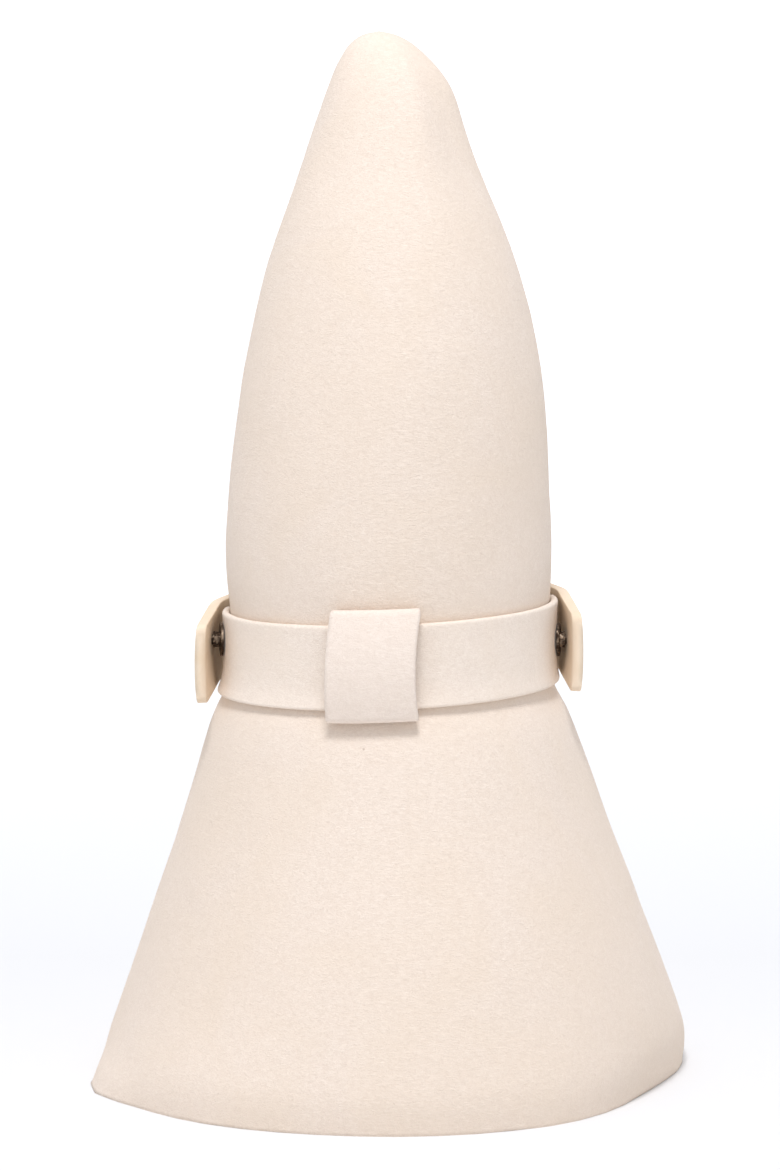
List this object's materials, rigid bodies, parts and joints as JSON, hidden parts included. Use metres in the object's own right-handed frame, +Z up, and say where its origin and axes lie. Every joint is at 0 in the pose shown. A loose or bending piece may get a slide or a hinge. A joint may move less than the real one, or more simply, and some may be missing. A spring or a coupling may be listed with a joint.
{
  "type": "felt cone hat with a belted waist",
  "caption": "Tall cone hat of thick white wool felt with a flared skirt brim, a belted waist, a belt loop at the back and a strap with square ends on metal posts.",
  "frame": {"origin": "on the surface that the rim rests on, under the middle of the hat", "axes": "+Z up along the crown; -Y to the back of the hat, where the belt loop is; +X to the right of the back view"},
  "size_m": [0.2416, 0.2354, 0.418],
  "materials": {
    "felt": "thick napped wool felt, cream white, faintly mottled",
    "belt_felt": "pressed wool felt with cut edges",
    "strap": "smooth ivory, stiff, with plain cut edges",
    "metal": "aged dark metal with bright worn spots"
  },
  "bodies": {
    "root": {"felt_cone": "felt", "belt_back": "belt_felt", "strap_front": "strap", "belt_loop": "belt_felt", "stud_left": "metal", "stud_right": "metal"}
  },
  "joints": []
}
